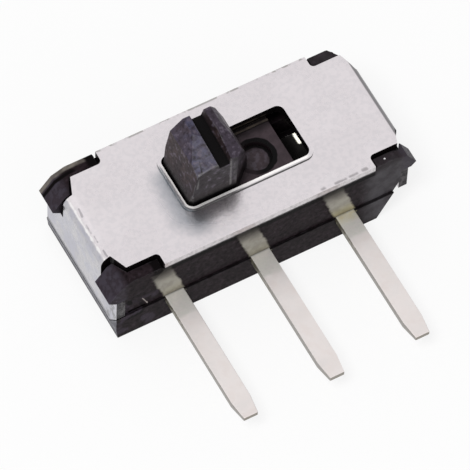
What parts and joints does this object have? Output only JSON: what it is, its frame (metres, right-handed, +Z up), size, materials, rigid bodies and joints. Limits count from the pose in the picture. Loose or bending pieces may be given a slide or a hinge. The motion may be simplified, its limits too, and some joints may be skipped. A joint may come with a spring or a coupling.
{
  "type": "slide switch",
  "caption": "Miniature right-angle slide switch with a folded metal cover, a two-position knob in a window and flat solder terminals in a row.",
  "frame": {"origin": "middle of the moulded body, on its flat underside", "axes": "+X along the travel, from the knob's drawn end of the window to its empty end; +Y away from the terminals, which point to -Y; +Z up through the knob"},
  "size_m": [0.009, 0.0078, 0.0043],
  "materials": {
    "black_moulding": "semi-gloss moulded thermoset",
    "tinned_steel": "tin-plated steel sheet",
    "black_knob": "satin moulded nylon",
    "contact_brass": "bright phosphor bronze",
    "spring_wire": "bright spring wire",
    "tinned_brass": "tin-plated brass"
  },
  "bodies": {
    "housing": {"base_housing": "black_moulding", "cover": "tinned_steel", "terminal_left": "tinned_brass", "terminal_common": "tinned_brass", "terminal_right": "tinned_brass"},
    "slider": {"slider": "black_knob", "contact_bridge": "contact_brass", "contact_spring": "spring_wire"}
  },
  "joints": [
    {"name": "slider_travel", "type": "slide", "parent": "housing", "child": "slider", "axis": [1, 0, 0], "range_m": [0, 0.0015]}
  ]
}
